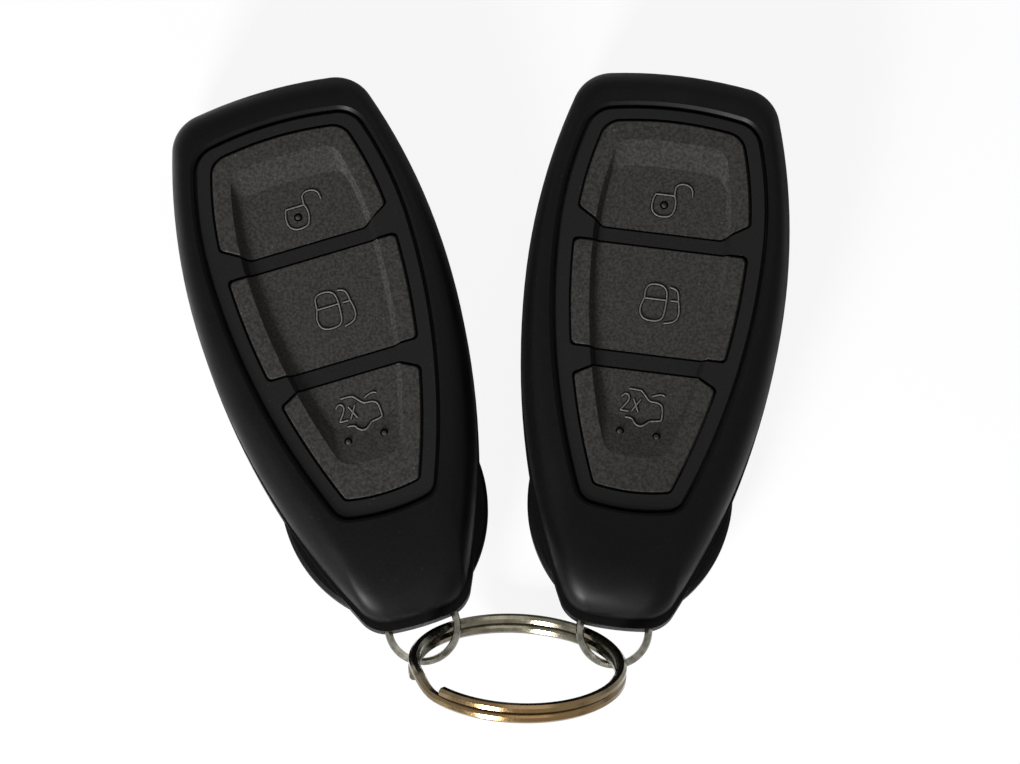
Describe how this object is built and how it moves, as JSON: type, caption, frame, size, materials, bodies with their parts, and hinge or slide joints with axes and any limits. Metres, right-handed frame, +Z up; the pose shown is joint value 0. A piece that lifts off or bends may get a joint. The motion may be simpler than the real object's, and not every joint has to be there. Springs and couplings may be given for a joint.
{
  "type": "car key fob",
  "caption": "Pair of black oval smart-key fobs with unlock, lock and boot buttons, wire bails and slide-off backs, joined by a split ring.",
  "frame": {"origin": "centre of the bounding box, on the surface that both fobs lie on", "axes": "+Z up through the keypads, +Y from the split ring towards the heads of the fobs, +X to the right fob"},
  "size_m": [0.094, 0.1018, 0.0284],
  "materials": {
    "shell_black": "satin soft-touch moulded plastic",
    "bezel_black": "satin moulded plastic",
    "tray_black": "fine matt moulded plastic",
    "button_grey": "grained charcoal soft plastic",
    "mat_rubber": "soft silicone",
    "board_green": "lacquered circuit board",
    "switch_steel": "stamped steel",
    "chip_black": "moulded resin",
    "ferrite_grey": "sintered ferrite",
    "cell_steel": "bright steel",
    "contact_nickel": "nickel-plated strip",
    "key_black": "moulded plastic",
    "key_steel": "nickel-plated steel",
    "bail_nickel": "worn nickel-plated wire",
    "ring_nickel": "worn nickel-plated spring steel, tarnished towards brass"
  },
  "bodies": {
    "right_case": {"right_front_shell": "shell_black", "right_keypad_bezel": "bezel_black", "right_tray": "tray_black", "right_keypad_mat": "mat_rubber", "right_circuit_board": "board_green", "right_tact_switches": "switch_steel", "right_board_chips": "chip_black", "right_antenna_coil": "ferrite_grey", "right_coin_cell": "cell_steel", "right_positive_contact": "contact_nickel", "right_negative_contact": "contact_nickel"},
    "right_unlock_button": {"right_unlock_button": "button_grey"},
    "right_lock_button": {"right_lock_button": "button_grey"},
    "right_boot_button": {"right_boot_button": "button_grey"},
    "right_squeeze_tab_l": {"right_squeeze_tab_l": "tray_black"},
    "right_squeeze_tab_r": {"right_squeeze_tab_r": "tray_black"},
    "right_back_cover": {"right_back_cover": "shell_black"},
    "right_bail": {"right_bail": "bail_nickel"},
    "right_key": {"right_key_head": "key_black", "right_key_blade": "key_steel"},
    "left_case": {"left_front_shell": "shell_black", "left_keypad_bezel": "bezel_black", "left_tray": "tray_black", "left_keypad_mat": "mat_rubber", "left_circuit_board": "board_green", "left_tact_switches": "switch_steel", "left_board_chips": "chip_black", "left_antenna_coil": "ferrite_grey", "left_coin_cell": "cell_steel", "left_positive_contact": "contact_nickel", "left_negative_contact": "contact_nickel"},
    "left_unlock_button": {"left_unlock_button": "button_grey"},
    "left_lock_button": {"left_lock_button": "button_grey"},
    "left_boot_button": {"left_boot_button": "button_grey"},
    "left_squeeze_tab_l": {"left_squeeze_tab_l": "tray_black"},
    "left_squeeze_tab_r": {"left_squeeze_tab_r": "tray_black"},
    "left_back_cover": {"left_back_cover": "shell_black"},
    "left_bail": {"left_bail": "bail_nickel"},
    "left_key": {"left_key_head": "key_black", "left_key_blade": "key_steel"},
    "split_ring": {"split_ring": "ring_nickel"}
  },
  "joints": [
    {"name": "right_unlock_button_press", "type": "slide", "parent": "right_case", "child": "right_unlock_button", "axis": [0, 0, -1], "range_m": [0, 0.0005], "stiffness_N_per_m": 1000},
    {"name": "right_lock_button_press", "type": "slide", "parent": "right_case", "child": "right_lock_button", "axis": [0, 0, -1], "range_m": [0, 0.0005], "stiffness_N_per_m": 1000},
    {"name": "right_boot_button_press", "type": "slide", "parent": "right_case", "child": "right_boot_button", "axis": [0, 0, -1], "range_m": [0, 0.0005], "stiffness_N_per_m": 1000},
    {"name": "right_squeeze_tab_l_squeeze", "type": "slide", "parent": "right_case", "child": "right_squeeze_tab_l", "axis": [0.9923, -0.1236, 0], "range_m": [0, 0.001], "stiffness_N_per_m": 1500},
    {"name": "right_squeeze_tab_r_squeeze", "type": "slide", "parent": "right_case", "child": "right_squeeze_tab_r", "axis": [-0.9923, 0.1236, 0], "range_m": [0, 0.001], "stiffness_N_per_m": 1500},
    {"name": "right_back_cover_slide", "type": "slide", "parent": "right_case", "child": "right_back_cover", "axis": [0.1236, 0.9923, 0], "range_m": [0, 0.06]},
    {"name": "right_key_draw", "type": "slide", "parent": "right_case", "child": "right_key", "axis": [0.1236, 0.9923, 0], "range_m": [0, 0.052]},
    {"name": "right_bail_swing", "type": "hinge", "parent": "right_case", "child": "right_bail", "pos_m": [0.0205, -0.03121, 0.0066], "axis": [0.9923, -0.1236, 0], "range_deg": [-1, 5]},
    {"name": "left_unlock_button_press", "type": "slide", "parent": "left_case", "child": "left_unlock_button", "axis": [0, 0, -1], "range_m": [0, 0.0005], "stiffness_N_per_m": 1000},
    {"name": "left_lock_button_press", "type": "slide", "parent": "left_case", "child": "left_lock_button", "axis": [0, 0, -1], "range_m": [0, 0.0005], "stiffness_N_per_m": 1000},
    {"name": "left_boot_button_press", "type": "slide", "parent": "left_case", "child": "left_boot_button", "axis": [0, 0, -1], "range_m": [0, 0.0005], "stiffness_N_per_m": 1000},
    {"name": "left_squeeze_tab_l_squeeze", "type": "slide", "parent": "left_case", "child": "left_squeeze_tab_l", "axis": [0.9566, 0.2915, 0], "range_m": [0, 0.001], "stiffness_N_per_m": 1500},
    {"name": "left_squeeze_tab_r_squeeze", "type": "slide", "parent": "left_case", "child": "left_squeeze_tab_r", "axis": [-0.9566, -0.2915, 0], "range_m": [0, 0.001], "stiffness_N_per_m": 1500},
    {"name": "left_back_cover_slide", "type": "slide", "parent": "left_case", "child": "left_back_cover", "axis": [-0.2915, 0.9566, 0], "range_m": [0, 0.06]},
    {"name": "left_key_draw", "type": "slide", "parent": "left_case", "child": "left_key", "axis": [-0.2915, 0.9566, 0], "range_m": [0, 0.052]},
    {"name": "left_bail_swing", "type": "hinge", "parent": "left_case", "child": "left_bail", "pos_m": [-0.00953, -0.03083, 0.0066], "axis": [0.9566, 0.2915, 0], "range_deg": [-5, 1]},
    {"name": "split_ring_swing", "type": "hinge", "parent": "right_case", "child": "split_ring", "pos_m": [0.00587, -0.03611, 0.0066], "axis": [0.9986, -0.0523, 0], "range_deg": [-5, 3]},
    {"name": "left_fob_swing", "type": "hinge", "parent": "right_case", "child": "left_case", "pos_m": [-0.00388, -0.03395, 0.0066], "axis": [0, 0, 1], "range_deg": [-4, 12]}
  ]
}
